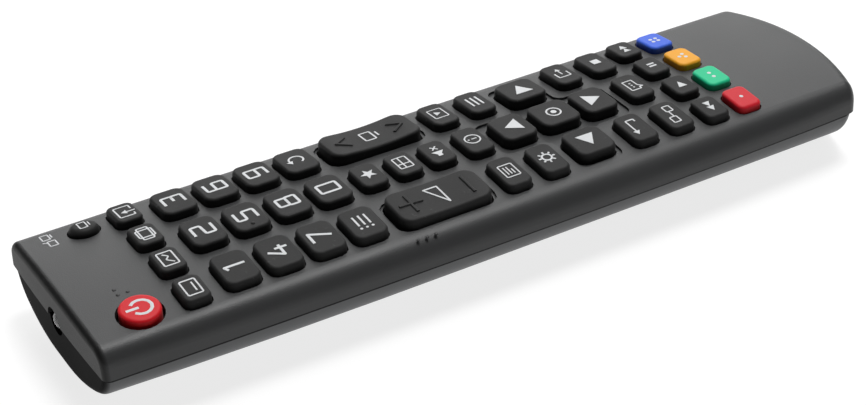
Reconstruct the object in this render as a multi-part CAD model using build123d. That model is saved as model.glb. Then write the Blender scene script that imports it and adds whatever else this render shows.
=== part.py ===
from build123d import *
import math
import os

# A universal remote control for television sets, in millimetres.
# X runs across the keypad, +Y points to the infra-red end and Z is up.
# The origin is the centre of the underside, on the surface it rests on.

# Case, seen from above
case_length = 172.0
half_width_widest = 23.4
infrared_narrowing = 1.3
tail_narrowing = 1.1
widest_from_tail = 48.0
infrared_end_radius = 600.0
tail_end_radius = 57.0

# Case, seen from the end
total_height = 18.9
key_proud = 1.8
parting_height = 10.2
parting_gap = 0.3
crown_radius = 175.0
crown_border = 4.6
side_draft = 4.0
upper_wall = 1.7
faceplate_thickness = 1.8
ceiling_half_width = 18.6
ceiling_slope_drop = 2.3
upper_infrared_fillet = 1.3
upper_tail_fillet = 2.2

# Lower shell
lower_inset = 0.35
lower_wall = 1.6
base_flat_half = 3.0
base_planed = 0.3
shoulder_half_width = 16.5
shoulder_height = 2.7
shoulder_slope = 26.0
base_lift = 1.4
base_lift_length = 65.0
lower_infrared_fillet = 1.6
lower_tail_fillet = 3.0
lip_thickness = 0.8
lip_height = 1.2
lip_root = 2.0
lip_clearance = 0.15

# Rows of keys, each measured from the row or the end before it
power_from_end = 11.0
source_from_end = 12.9
function_from_end = 20.95
function_to_digits = 9.3
digit_spacing = 8.7
digits_to_favourites = 8.7
centre_spacing = 7.6
centre_to_teletext = 8.2
teletext_to_ok = 19.1
up_from_ok = 9.9
down_from_ok = 9.5
settings_from_ok = 10.4
back_from_ok = 10.7
ok_to_devices = 19.4
devices_to_play = 8.4
play_to_colour = 8.0

# Columns of keys
column_three = 13.1
column_four_inner = 4.9
column_four_outer = 14.65
nav_side_x = 12.15
power_x = 14.7
source_x = 15.2

# Key bodies: width across the keypad, length along it and corner radius in plan
digit_width = 9.4
digit_length = 7.1
digit_corner = 1.9
function_width = 7.3
function_length = 5.3
function_corner = 1.4
centre_width = 8.3
centre_length = 5.6
centre_corner = 1.6
menu_width = 9.6
menu_length = 5.8
menu_corner = 1.7
nav_row_width = 9.3
nav_row_length = 7.7
nav_side_width = 8.7
nav_side_length = 8.7
nav_corner = 2.0
ok_side = 8.9
ok_corner = 2.1
transport_width = 7.3
transport_length = 5.6
transport_corner = 1.5
rocker_width = 9.9
rocker_length = 19.8
rocker_corner = 2.6
power_diameter = 8.3
source_width = 5.2
source_length = 5.9
colour_proud = 1.5
power_proud = 1.3
source_proud = 1.5
key_edge_bevel = 0.4

# How keys are guided and retained
key_clearance = 0.3
key_travel = 0.7
travel_reserve = 0.2
flange_thickness = 0.6
flange_lip = 0.5
flange_side_gap = 0.3
flange_ceiling_gap = 0.3
rocker_end_clearance = 0.5
rocker_lip_half = 3.0
rocker_lip_gap = 0.5
channel_dish_depth = 0.35
volume_dish_depth = 0.15
rocker_dish_half = 6.2

# Shallow recesses moulded round the rockers and the arrow keys
recess_depth = 0.5
rocker_recess_margin = 0.6
nav_recess_outer_margin = 1.2
nav_recess_row_margin = 0.8
nav_recess_column_margin = 1.65
nav_recess_end_margin = 1.7
nav_recess_corner = 2.0

# Circuit board and keypad mat
board_thickness = 0.8
board_half_width = 18.2
board_front_margin = 3.6
board_tail_margin = 6.0
board_corner = 3.0
mat_thickness = 0.4
mat_half_width = 18.2
mat_margin = 2.0
mat_corner = 2.5

# Battery compartment and cells
cell_diameter = 10.5
cell_body_length = 43.7
cell_nub_diameter = 3.8
cell_nub_length = 0.8
cell_spacing = 11.2
cell_cover_gap = 0.3
cell_roof_gap = 0.1
cell_centre_from_tail = 36.5
contact_room = 3.0
compartment_wall = 1.0
compartment_side_gap = 0.4
contact_thickness = 0.4
contact_width = 7.0
contact_height = 7.0
contact_boss_diameter = 3.0

# Battery cover
cover_wall = 1.2
cover_half_width = 14.7
cover_side_wall = 1.4
cover_side_height = 5.4
cover_gap = 0.3
cover_length = 64.0
cover_end_wall = 1.6
tongue_reach = 1.5
tongue_thickness = 0.8
rail_width = 3.5
grip_grooves = 6
grip_spacing = 1.8
grip_radius = 0.5
grip_depth = 0.35
grip_length = 13.0
grip_from_edge = 7.0

# Infra-red emitter in the end wall
led_diameter = 5.0
led_rim_diameter = 5.8
led_rim_thickness = 1.0
led_barrel_length = 5.9
led_tip_setback = 0.6
led_hole_clearance = 0.3
led_lead_size = 0.5
led_lead_spacing = 2.54
led_lead_length = 4.0
led_board_room = 0.7

# Small parts below the circuit board
post_diameter = 3.2
post_x = 12.0
post_front_from_end = 22.0
post_rear_from_end = 82.0
chip_width = 7.6
chip_length = 12.0
chip_height = 1.6
chip_from_end = 46.0
chip_leg_count = 8
chip_leg_spacing = 1.27
chip_leg_reach = 1.2
chip_leg_width = 0.45
chip_leg_height = 0.8
capacitor_diameter = 5.0
capacitor_length = 7.5
capacitor_x = 12.0
capacitor_from_end = 62.0
resonator_width = 3.2
resonator_length = 8.0
resonator_height = 2.4
resonator_x = -11.0
resonator_from_end = 56.0

# One overrun serves every cut
overrun = 3.0

# How many straight bands make up the bowed sides, outside and inside
outer_bands = 9
inner_bands = 4

# How many chords make up a key's corner, and a whole oval key: few, because keys repeat
corner_chords = 3
oval_chords = 24
dome_chords = 4
inner_chords = 3

# Heights worked out from the sizes above
face_height = total_height - key_proud
ceiling_height = face_height - faceplate_thickness
flange_top = ceiling_height - flange_ceiling_gap
flange_bottom = flange_top - flange_thickness
mat_top = flange_bottom - key_travel - travel_reserve
board_top = mat_top - mat_thickness
board_bottom = board_top - board_thickness
cell_radius = cell_diameter / 2
cell_axis_height = cover_wall - base_planed + cell_cover_gap + cell_radius
roof_bottom = cell_axis_height + cell_radius + cell_roof_gap
half_length = case_length / 2
crown_half_width = half_width_widest - crown_border

# Places along the case, each tied to the end it belongs to
widest_y = -half_length + widest_from_tail
cell_centre_y = -half_length + cell_centre_from_tail
cover_start_y = -half_length + cover_length
base_lift_start_y = half_length + overrun - base_lift_length
post_front_y = half_length - post_front_from_end
post_rear_y = half_length - post_rear_from_end
chip_y = half_length - chip_from_end
capacitor_y = half_length - capacitor_from_end
resonator_y = half_length - resonator_from_end

# Key sizes gathered as width, length and corner radius
digit_size = (digit_width, digit_length, digit_corner)
function_size = (function_width, function_length, function_corner)
centre_size = (centre_width, centre_length, centre_corner)
menu_size = (menu_width, menu_length, menu_corner)
nav_row_size = (nav_row_width, nav_row_length, nav_corner)
nav_side_size = (nav_side_width, nav_side_length, nav_corner)
ok_size = (ok_side, ok_side, ok_corner)
transport_size = (transport_width, transport_length, transport_corner)
rocker_size = (rocker_width, rocker_length, rocker_corner)


def box_between(low, high):
    """A box from its lowest corner to its highest one."""
    size = [b - a for a, b in zip(low, high)]
    centre = [(a + b) / 2 for a, b in zip(low, high)]
    return Pos(*centre) * Box(*size)


def section_plane(y):
    """A plane across the case at y, with its own x along X and its own y along Z."""
    return Plane((0, y, 0), x_dir=(1, 0, 0), z_dir=(0, -1, 0))


def half_width_at(y):
    """The sides bow gently out to the widest place and in again."""
    end = half_length if y > widest_y else -half_length
    narrowing = infrared_narrowing if y > widest_y else tail_narrowing
    share = (y - widest_y) / (end - widest_y)
    return half_width_widest - narrowing * share**2


def section_stations(bands):
    """Evenly spaced places along the case, from one end to the other."""
    start = half_length + overrun
    return [start - start * 2 * n / bands for n in range(bands + 1)]


def base_height(y):
    """The underside rises gently towards the infra-red end."""
    rise_length = half_length + overrun - base_lift_start_y
    return base_lift * (max(y - base_lift_start_y, 0) / rise_length) ** 2


def crown_drop(x):
    """How far the crowned face lies below its middle line."""
    return crown_radius - math.sqrt(crown_radius**2 - x**2)


def mirrored_section(edges, y):
    """A closed face across the case from the edges of its right half."""
    left = [mirror(edge, about=Plane.YZ) for edge in edges]
    return section_plane(y) * make_face(edges + left)


def plan_prism(inset, low, high):
    """Everything between the two curved end walls, drawn in by inset."""
    reach = half_width_widest + overrun
    front = half_length - inset
    rear = -half_length + inset
    front_radius = infrared_end_radius - inset
    rear_radius = tail_end_radius - inset
    front_side = front - front_radius + math.sqrt(front_radius**2 - reach**2)
    rear_side = rear + rear_radius - math.sqrt(rear_radius**2 - reach**2)
    outline = [
        ThreePointArc((-reach, front_side), (0, front), (reach, front_side)),
        Line((reach, front_side), (reach, rear_side)),
        ThreePointArc((reach, rear_side), (0, rear), (-reach, rear_side)),
        Line((-reach, rear_side), (-reach, front_side)),
    ]
    return Pos(0, 0, low) * extrude(make_face(outline), high - low)


def crown_cylinder(top):
    """A cylinder along Y whose upper side is the crowned surface with its ridge at top."""
    length = case_length + overrun * 2
    return Pos(0, 0, top - crown_radius) * Rot(X=90) * Cylinder(crown_radius, length)


def fillet_end(solid, end_sign, floor, radius):
    """Round the rim of the end wall at +Y or -Y, above or below the parting line."""
    wall = solid.faces().sort_by(Axis.Y)[-1 if end_sign > 0 else 0]
    rim = [e for e in wall.edges() if abs(e.center().Z - floor) > parting_gap / 2]
    return fillet(rim, radius)


def side_section(y, side):
    """The rolled shoulder and the drafted wall on one side of the crowned face."""
    half_width = half_width_at(y)
    floor = parting_height + parting_gap / 2
    edge_height = face_height - crown_drop(crown_half_width)
    fall = math.asin(crown_half_width / crown_radius)
    draft = math.tan(math.radians(side_draft))
    chord = math.tan((fall + math.pi / 2 - math.radians(side_draft)) / 2)
    run = half_width - crown_half_width + floor * draft
    wall_top = (edge_height - chord * run) / (1 - draft * chord)
    wall_x = half_width - (wall_top - floor) * draft
    tangent = (math.cos(fall), -math.sin(fall))
    edges = [
        TangentArc((crown_half_width, edge_height), (wall_x, wall_top), tangent=tangent),
        Line((wall_x, wall_top), (half_width, floor)),
        Line((half_width, floor), (crown_half_width, floor)),
        Line((crown_half_width, floor), (crown_half_width, edge_height)),
    ]
    if side < 0:
        edges = [mirror(edge, about=Plane.YZ) for edge in edges]
    return section_plane(y) * make_face(edges)


def upper_cavity_section(y):
    """The flat ceiling, the sloping shoulder and the straight wall inside the upper shell."""
    floor = parting_height - overrun
    side = half_width_at(y) - upper_wall
    wall_top = ceiling_height - ceiling_slope_drop
    ceiling = Line((0, ceiling_height), (ceiling_half_width, ceiling_height))
    shoulder = Line((ceiling_half_width, ceiling_height), (side, wall_top))
    wall = Line((side, wall_top), (side, floor))
    return mirrored_section([ceiling, shoulder, wall, Line((side, floor), (0, floor))], y)


def chorded(arc):
    """A few chords in place of an arc, for surfaces that stay inside."""
    return Polyline(*[arc @ (n / inner_chords) for n in range(inner_chords + 1)]).edges()


def lower_section(y, inset, ceiling):
    """The belly: a narrow flat, a long shallow arc and a tighter one up the side."""
    slope = math.radians(shoulder_slope)
    bottom = base_height(y) - base_planed + inset
    shoulder_x = shoulder_half_width - inset * math.sin(slope)
    shoulder_z = shoulder_height + base_height(y) + inset * math.cos(slope)
    side = half_width_at(y) - lower_inset - inset
    flat = Line((0, bottom), (base_flat_half, bottom))
    belly = TangentArc((base_flat_half, bottom), (shoulder_x, shoulder_z), tangent=(1, 0))
    flank = TangentArc((shoulder_x, shoulder_z), (side, parting_height), tangent=belly % 1)
    curves = [belly, flank] if inset == 0 else chorded(belly) + chorded(flank)
    wall = Line((side, parting_height), (side, ceiling))
    top = Line((side, ceiling), (0, ceiling))
    return mirrored_section([flat, *curves, wall, top], y)


def shell_body(section, inset, bands):
    """Straight bands from station to station, trimmed by the two curved end walls."""
    sections = [section(y) for y in section_stations(bands)]
    prism = plan_prism(inset, -overrun, total_height + overrun)
    return loft(sections, ruled=True) & prism


def make_upper_outer():
    """The crowned face between two rolled sides, with both ends rounded."""
    floor = parting_height + parting_gap / 2
    reach = half_length + overrun
    middle = crown_cylinder(face_height) & box_between(
        (-crown_half_width, -reach, floor), (crown_half_width, reach, total_height)
    )
    sides = [
        loft([side_section(y, side) for y in section_stations(outer_bands)], ruled=True)
        for side in (-1, 1)
    ]
    body = (middle + sides) & plan_prism(0, -overrun, total_height + overrun)
    body = fillet_end(body, 1, floor, upper_infrared_fillet)
    return fillet_end(body, -1, floor, upper_tail_fillet)


def lower_body(inset, ceiling, bands):
    return shell_body(lambda y: lower_section(y, inset, ceiling), lower_inset + inset, bands)


def make_lower_outer():
    top = parting_height - parting_gap / 2
    reach = half_length + overrun
    body = lower_body(0, parting_height + overrun, outer_bands)
    body &= box_between((-reach, -reach, 0), (reach, reach, top))
    body = fillet_end(body, 1, top, lower_infrared_fillet)
    return fillet_end(body, -1, top, lower_tail_fillet)


# Places of the rows, worked out once
power_y = half_length - power_from_end
source_y = half_length - source_from_end
function_y = half_length - function_from_end
digit_rows = [function_y - function_to_digits - digit_spacing * n for n in range(4)]
favourites_y = digit_rows[-1] - digits_to_favourites
programmes_y = favourites_y - centre_spacing
mute_y = programmes_y - centre_spacing
teletext_y = mute_y - centre_to_teletext
ok_y = teletext_y - teletext_to_ok
up_y = ok_y + up_from_ok
down_y = ok_y - down_from_ok
settings_y = ok_y + settings_from_ok
back_y = ok_y - back_from_ok
devices_y = ok_y - ok_to_devices
play_y = devices_y - devices_to_play
colour_y = play_y - play_to_colour


def row_of(names, columns, y, size, proud=key_proud):
    """One row of keys, from left to right as the remote is held."""
    return [(name, x, y, size, proud) for name, x in zip(names, columns)]


def rectangular_keys():
    three = (-column_three, 0, column_three)
    four = (-column_four_outer, -column_four_inner, column_four_inner, column_four_outer)
    outer = (-column_three, column_three)
    nav_outer = (-nav_side_x, nav_side_x)
    digits = (("1", "2", "3"), ("4", "5", "6"), ("7", "8", "9"), ("channel_list", "0", "last_channel"))
    keys = row_of(("captions", "picture_mode", "aspect", "inputs"), four, function_y, function_size)
    for names, y in zip(digits, digit_rows):
        keys += row_of(names, three, y, digit_size)
    centre = (("favourites", favourites_y), ("programmes", programmes_y), ("mute", mute_y))
    for name, y in centre:
        keys += row_of((name,), (0,), y, centre_size)
    keys += row_of(("teletext", "information", "teletext_menu"), three, teletext_y, menu_size)
    keys += row_of(("settings", "menu"), outer, settings_y, menu_size)
    keys += row_of(("up",), (0,), up_y, nav_row_size)
    keys += row_of(("left", "right"), nav_outer, ok_y, nav_side_size)
    keys += row_of(("ok",), (0,), ok_y, ok_size)
    keys += row_of(("down",), (0,), down_y, nav_row_size)
    keys += row_of(("back", "exit"), outer, back_y, menu_size)
    keys += row_of(("devices", "narration", "stop"), three, devices_y, menu_size)
    keys += row_of(("rewind", "play", "pause", "forward"), four, play_y, transport_size)
    colours = ("red", "green", "yellow", "blue")
    return keys + row_of(colours, four, colour_y, transport_size, colour_proud)


def rounded_outline(width, length, corner):
    """A rectangle with each corner rounded by a few chords."""
    points = []
    for quarter, (side_x, side_y) in enumerate(((1, 1), (-1, 1), (-1, -1), (1, -1))):
        centre_x = side_x * (width / 2 - corner)
        centre_y = side_y * (length / 2 - corner)
        for step in range(corner_chords + 1):
            angle = math.pi / 2 * (quarter + step / corner_chords)
            point = (centre_x + corner * math.cos(angle), centre_y + corner * math.sin(angle))
            points.append(point)
    return make_face(Polyline(points, close=True))


def oval_outline(across, along):
    """A circle or an oval drawn with chords."""
    angles = [math.tau * n / oval_chords for n in range(oval_chords)]
    points = [(across / 2 * math.cos(a), along / 2 * math.sin(a)) for a in angles]
    return make_face(Polyline(points, close=True))


def rounded_prism(x, y, size, margin_x, margin_y, low, high):
    """An upright prism with rounded corners, a margin larger than a key's body."""
    width, length, corner = size
    corner = corner + min(margin_x, margin_y)
    outline = rounded_outline(width + margin_x * 2, length + margin_y * 2, corner)
    return Pos(x, y, low) * extrude(outline, high - low)


def oval_prism(x, y, diameters, margin, low, high):
    """An upright round or oval prism, a margin larger than a key's body."""
    across, along = diameters
    outline = oval_outline(across + margin * 2, along + margin * 2)
    return Pos(x, y, low) * extrude(outline, high - low)


def on_crown(x, y, proud):
    """A place on the crowned surface at x, tilted to lie flat on it."""
    tilt = math.degrees(math.asin(x / crown_radius))
    return Pos(x, y, face_height + proud - crown_drop(x)) * Rot(Y=tilt)


def topped_and_bevelled(body, x, y, proud):
    """Trim a key level with the crown and bevel the rim of its top."""
    reach = half_width_widest
    below = box_between((-reach, -reach, -total_height), (reach, reach, 0))
    body &= on_crown(x, y, proud) * below
    return chamfer(body.faces().sort_by(Axis.Z)[-1].edges(), key_edge_bevel)


def key_flange(x, y, width, length):
    """The plate under a key that stops it against the ceiling, cut clear of the shoulder."""
    reach = width / 2 + flange_lip
    limit = ceiling_half_width - flange_side_gap
    low = (max(x - reach, -limit), y - length / 2, flange_bottom)
    high = (min(x + reach, limit), y + length / 2, flange_top)
    return box_between(low, high)


def make_rectangular_key(x, y, size, proud):
    body = rounded_prism(x, y, size, 0, 0, flange_bottom, total_height + overrun)
    return topped_and_bevelled(body, x, y, proud) + key_flange(x, y, size[0], size[1])


def make_oval_key(x, y, diameters, proud):
    body = oval_prism(x, y, diameters, 0, flange_bottom, total_height + overrun)
    return topped_and_bevelled(body, x, y, proud) + key_flange(x, y, *diameters)


def oval_keys():
    round_power = (power_diameter, power_diameter)
    return [
        ("power", -power_x, power_y, round_power, power_proud),
        ("source", source_x, source_y, (source_width, source_length), source_proud),
    ]


def rocker_tops():
    """Both rockers, with how deep the middle of each top is dished."""
    return [
        ("rocker_volume", -column_three, volume_dish_depth),
        ("rocker_channel", column_three, channel_dish_depth),
    ]


def make_rocker(x, dish):
    """A long key that pivots at its middle, its top hollowed between two low humps."""
    body = rounded_prism(x, programmes_y, rocker_size, 0, 0, flange_bottom, total_height + overrun)
    body = topped_and_bevelled(body, x, programmes_y, key_proud + dish)
    radius = (rocker_dish_half**2 + dish**2) / (dish * 2)
    hollow = Rot(Y=90) * Cylinder(radius, rocker_width + overrun * 2)
    body -= on_crown(x, programmes_y, key_proud + radius) * hollow
    lip_reach = rocker_width / 2 + flange_lip
    limit = ceiling_half_width - flange_side_gap
    low = (max(x - lip_reach, -limit), programmes_y - rocker_lip_half, flange_bottom)
    high_x = min(x + lip_reach, limit)
    high = (high_x, programmes_y + rocker_lip_half, ceiling_height - rocker_lip_gap)
    return body + box_between(low, high)


def key_holes(low, high, margin, rocker_margin):
    """One cutter for each key, larger than its body by the margins."""
    cutters = []
    for name, x, y, size, proud in rectangular_keys():
        cutters.append(rounded_prism(x, y, size, margin, margin, low, high))
    for name, x, y, diameters, proud in oval_keys():
        cutters.append(oval_prism(x, y, diameters, margin, low, high))
    for name, x, dish in rocker_tops():
        cutters.append(rounded_prism(x, programmes_y, rocker_size, margin, rocker_margin, low, high))
    return cutters


def nav_recess_outline():
    """A cross with rounded inner corners round the four arrow keys."""
    across = (nav_side_x + nav_side_width / 2 + nav_recess_outer_margin) * 2
    along = nav_side_length + nav_recess_row_margin * 2
    low = down_y - nav_row_length / 2 - nav_recess_end_margin
    high = up_y + nav_row_length / 2 + nav_recess_end_margin
    column = nav_row_width + nav_recess_column_margin * 2
    cross = Pos(0, ok_y) * Rectangle(across, along)
    cross += Pos(0, (low + high) / 2) * Rectangle(column, high - low)
    return fillet(cross.vertices(), nav_recess_corner)


def recess_cutters():
    """Shallow pockets that follow the crown of the face."""
    top = total_height + overrun
    below = crown_cylinder(face_height - recess_depth)
    cutters = [extrude(Pos(0, 0, ceiling_height) * nav_recess_outline(), top - ceiling_height)]
    for name, x, dish in rocker_tops():
        margin = rocker_end_clearance + rocker_recess_margin
        pocket = rounded_prism(
            x, programmes_y, rocker_size, key_clearance, margin, ceiling_height, top
        )
        cutters.append(pocket)
    return [cutter - below for cutter in cutters]


def led_hole():
    """The round hole for the emitter, shared by both end walls."""
    radius = led_diameter / 2 + led_hole_clearance
    length = (upper_wall + lip_clearance + lip_thickness + overrun) * 2
    return Pos(0, half_length, parting_height) * Rot(X=90) * Cylinder(radius, length)


def board_front_y():
    return half_length - board_front_margin


def make_upper_case():
    case = make_upper_outer()
    case -= shell_body(upper_cavity_section, upper_wall, inner_bands)
    case -= recess_cutters()
    case -= key_holes(ceiling_height - overrun, total_height, key_clearance, rocker_end_clearance)
    return case - led_hole()


def lip_ring():
    """The tongue of the lower shell that locates the upper one."""
    low = parting_height - lip_root
    high = parting_height + lip_height
    outer_inset = upper_wall + lip_clearance - lower_inset
    reach = half_length + overrun
    slab = box_between((-reach, -reach, low), (reach, reach, high))
    ring = lower_body(outer_inset, high + overrun, inner_bands) & slab
    return ring - lower_body(outer_inset + lip_thickness, high + overrun, inner_bands)


def compartment_ends():
    """The inner faces of the battery compartment along Y."""
    half = (cell_body_length + cell_nub_length) / 2 + contact_room
    return cell_centre_y - half, cell_centre_y + half


def make_compartment():
    """Walls, roof and side shelves of the battery compartment."""
    low_y, high_y = compartment_ends()
    side = cell_spacing / 2 + cell_radius + compartment_side_gap
    wall = compartment_wall
    shelf_low = cover_side_height + cover_gap
    block = box_between(
        (-side - wall, low_y - wall, shelf_low), (side + wall, high_y + wall, board_bottom)
    )
    reach = half_width_widest
    shelf = box_between(
        (-reach, low_y - wall, shelf_low), (reach, high_y + wall, shelf_low + wall)
    )
    body = lower_body(lower_wall / 2, parting_height + overrun, inner_bands)
    return block + (shelf & body) - box_between((-side, low_y, 0), (side, high_y, roof_bottom))


def above_belly(inset):
    """A straight prism of all that lies over the level belly, drawn in by inset."""
    face = lower_section(cover_start_y, inset, parting_height + overrun)
    return extrude(face, case_length, both=True)


def make_hanging_walls():
    """The walls that close both ends of the compartment, down to the cover."""
    low_y, high_y = compartment_ends()
    side = cover_half_width - cover_side_wall - cover_gap
    space = above_belly(cover_wall + cover_gap)
    walls = []
    for start in (low_y - compartment_wall, high_y):
        end = start + compartment_wall
        walls.append(space & box_between((-side, start, 0), (side, end, board_bottom)))
    return walls


def cover_passage(gap):
    """The space that the battery cover and its tongues slide through."""
    side = cover_half_width + gap
    top = cover_side_height + gap
    tongue_low = cover_side_height - tongue_thickness - gap
    rear = -half_length - overrun
    front = cover_start_y + gap
    well = box_between((-side, rear, -overrun), (side, front, top))
    reach = side + tongue_reach
    slot = box_between((-reach, rear, tongue_low), (reach, front, top))
    return well, slot


def make_rails(outer):
    """Solid ledges beside the opening, under the tongues of the cover."""
    inner = cover_half_width + cover_gap
    top = cover_side_height - tongue_thickness - cover_gap
    rear = -half_length
    rails = box_between((inner, rear, 0), (inner + rail_width, cover_start_y, top))
    rails += mirror(rails, about=Plane.YZ)
    return rails & outer


def board_posts():
    """Posts that carry the front half of the circuit board."""
    posts = []
    for y in (post_rear_y, post_front_y):
        for x in (-post_x, post_x):
            posts.append(Pos(x, y, board_bottom / 2) * Cylinder(post_diameter / 2, board_bottom))
    floor = lower_body(lower_wall / 2, board_bottom + overrun, inner_bands)
    return [post & floor for post in posts]


def make_lower_case(outer):
    case = outer - lower_body(lower_wall, parting_height + overrun, inner_bands)
    case += lip_ring()
    case += make_rails(outer)
    case += board_posts()
    for cutter in cover_passage(cover_gap):
        case -= cutter
    case += make_compartment()
    case += make_hanging_walls()
    return case - led_hole()


def cover_inside():
    """The space that hollows the cover and leaves its floor, sides and end wall."""
    side = cover_half_width - cover_side_wall
    front = cover_start_y + overrun
    room = box_between((-side, -half_length, 0), (side, front, parting_height))
    return above_belly(cover_wall) & room - rear_of_end_wall()


def rear_of_end_wall():
    """What lies beyond the inner face of the cover's curved end wall."""
    reach = half_width_widest + overrun
    keep = plan_prism(lower_inset + cover_end_wall, -overrun, total_height)
    block = box_between((-reach, -half_length - overrun, -overrun), (reach, 0, total_height))
    return block - keep


def make_battery_cover(outer):
    well, slot = cover_passage(0)
    cover = (well + slot) & outer
    cover -= cover_inside()
    for n in range(grip_grooves):
        y = cover_start_y - grip_from_edge - grip_spacing * n
        groove = Rot(Y=90) * Cylinder(grip_radius, grip_length)
        cover -= Pos(0, y, grip_depth - grip_radius) * groove
    return cover


def make_mat():
    """The thin sheet on the circuit board, under all the keys."""
    low_y = colour_y - transport_length / 2 - mat_margin
    high_y = power_y + power_diameter / 2 + mat_margin
    sheet = RectangleRounded(mat_half_width * 2, high_y - low_y, mat_corner)
    return Pos(0, (low_y + high_y) / 2, board_top) * extrude(sheet, mat_thickness)


def make_board():
    """A plain board with a notch for the infra-red emitter."""
    front = board_front_y()
    rear = -half_length + board_tail_margin
    outline = RectangleRounded(board_half_width * 2, front - rear, board_corner)
    board = Pos(0, (front + rear) / 2, board_bottom) * extrude(outline, board_thickness)
    notch_half = led_rim_diameter / 2 + led_board_room
    notch_rear = led_back_y() - led_lead_length + led_board_room
    return board - box_between(
        (-notch_half, notch_rear, 0), (notch_half, half_length, total_height)
    )


def led_back_y():
    """The rear face of the emitter's rim."""
    return half_length - led_tip_setback - led_diameter / 2 - led_barrel_length


def make_led():
    """A clear emitter: rim, barrel, domed tip and two bent leads."""
    radius = led_diameter / 2
    rim_radius = led_rim_diameter / 2
    back = led_back_y()
    dome_start = back + led_barrel_length
    points = [(0, back), (rim_radius, back), (rim_radius, back + led_rim_thickness)]
    points.append((radius, back + led_rim_thickness))
    for n in range(dome_chords + 1):
        angle = math.pi / 2 * n / dome_chords
        points.append((radius * math.cos(angle), dome_start + radius * math.sin(angle)))
    outline = make_face(Polyline(points, close=True))
    led = Pos(0, 0, parting_height) * revolve(outline, Axis.Y)
    half_lead = led_lead_size / 2
    for x in (-led_lead_spacing / 2, led_lead_spacing / 2):
        end = back - led_lead_length
        led += box_between(
            (x - half_lead, end, parting_height - half_lead),
            (x + half_lead, back, parting_height + half_lead),
        )
        led += box_between(
            (x - half_lead, end, parting_height - half_lead),
            (x + half_lead, end + led_lead_size, board_bottom),
        )
    return led


def make_cell(x, nub_sign):
    """One cell: a can and its raised terminal."""
    can = Cylinder(cell_radius, cell_body_length)
    nub_z = (cell_body_length + cell_nub_length) / 2
    can += Pos(0, 0, nub_z) * Cylinder(cell_nub_diameter / 2, cell_nub_length)
    turned = Rot(X=-90 * nub_sign) * can
    shift = -nub_sign * cell_nub_length / 2
    return Pos(x, cell_centre_y + shift, cell_axis_height) * turned


def contact_plate(x, wall_y, inward):
    """A flat plate against a compartment wall."""
    low = (x - contact_width / 2, min(wall_y, wall_y + inward * contact_thickness))
    high = (x + contact_width / 2, max(wall_y, wall_y + inward * contact_thickness))
    half = contact_height / 2
    return box_between(
        (*low, cell_axis_height - half), (*high, cell_axis_height + half)
    )


def contact_boss(x, wall_y, inward):
    """A raised boss that meets the positive end of a cell."""
    reach = contact_room - contact_thickness
    boss = Rot(X=90) * Cylinder(contact_boss_diameter / 2, reach)
    centre = wall_y + inward * (contact_thickness + reach / 2)
    return Pos(x, centre, cell_axis_height) * boss


def contact_leaf(x, wall_y, inward):
    """A bent leaf spring that meets the negative end of a cell."""
    half = contact_height / 2
    thickness = contact_thickness
    root = wall_y + inward * thickness / 2
    tip = wall_y + inward * contact_room
    height = cell_axis_height
    profile = Polyline(
        (root, height - half),
        (tip, height),
        (root, height + half),
        (root, height + half - thickness * 2),
        (tip - inward * thickness * 2, height),
        (root, height - half + thickness * 2),
        close=True,
    )
    plane = Plane((x, 0, 0), x_dir=(0, 1, 0), z_dir=(1, 0, 0))
    return extrude(plane * make_face(profile), contact_width / 4, both=True)


def make_contacts():
    """The bridge at the tail end and the two terminals at the other end."""
    low_y, high_y = compartment_ends()
    left = -cell_spacing / 2
    right = cell_spacing / 2
    bridge = contact_plate(left, low_y, 1) + contact_plate(right, low_y, 1)
    bridge += box_between(
        (left, low_y, cell_axis_height - contact_boss_diameter / 2),
        (right, low_y + contact_thickness, cell_axis_height + contact_boss_diameter / 2),
    )
    bridge += contact_leaf(left, low_y, 1)
    bridge += contact_boss(right, low_y, 1)
    positive = contact_plate(left, high_y, -1) + contact_boss(left, high_y, -1)
    negative = contact_plate(right, high_y, -1) + contact_leaf(right, high_y, -1)
    return {
        "battery_bridge": bridge,
        "battery_terminal_positive": positive,
        "battery_terminal_negative": negative,
    }


def make_chip():
    """The controller, a flat package with a row of legs on each side."""
    body = Box(chip_width, chip_length, chip_height)
    chip = Pos(0, chip_y, board_bottom - chip_height / 2) * body
    leg = Box(chip_leg_reach, chip_leg_width, chip_leg_height)
    for n in range(chip_leg_count):
        y = chip_y + (n - (chip_leg_count - 1) / 2) * chip_leg_spacing
        for side in (-1, 1):
            x = side * (chip_width + chip_leg_reach) / 2
            chip += Pos(x, y, board_bottom - chip_leg_height / 2) * leg
    return chip


def make_capacitor():
    radius = capacitor_diameter / 2
    can = Cylinder(radius, capacitor_length)
    return Pos(capacitor_x, capacitor_y, board_bottom - radius) * Rot(X=90) * can


def make_resonator():
    body = extrude(SlotOverall(resonator_length, resonator_width), resonator_height)
    return Pos(resonator_x, resonator_y, board_bottom - resonator_height) * Rot(Z=90) * body


def make_nodes():
    """Every piece of the remote under its own name."""
    lower_outer = make_lower_outer()
    nodes = {
        "upper_case": make_upper_case(),
        "lower_case": make_lower_case(lower_outer),
        "battery_cover": make_battery_cover(lower_outer),
        "keypad_mat": make_mat(),
        "circuit_board": make_board(),
        "infrared_led": make_led(),
        "battery_left": make_cell(-cell_spacing / 2, 1),
        "battery_right": make_cell(cell_spacing / 2, -1),
        "controller_chip": make_chip(),
        "filter_capacitor": make_capacitor(),
        "resonator": make_resonator(),
    }
    nodes.update(make_contacts())
    for name, x, y, size, proud in rectangular_keys():
        nodes["key_" + name] = make_rectangular_key(x, y, size, proud)
    for name, x, y, diameters, proud in oval_keys():
        nodes["key_" + name] = make_oval_key(x, y, diameters, proud)
    for name, x, dish in rocker_tops():
        nodes[name] = make_rocker(x, dish)
    return nodes


os.makedirs("parts", exist_ok=True)
for node, solid in make_nodes().items():
    export_step(solid, "parts/" + node + ".step")
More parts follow.
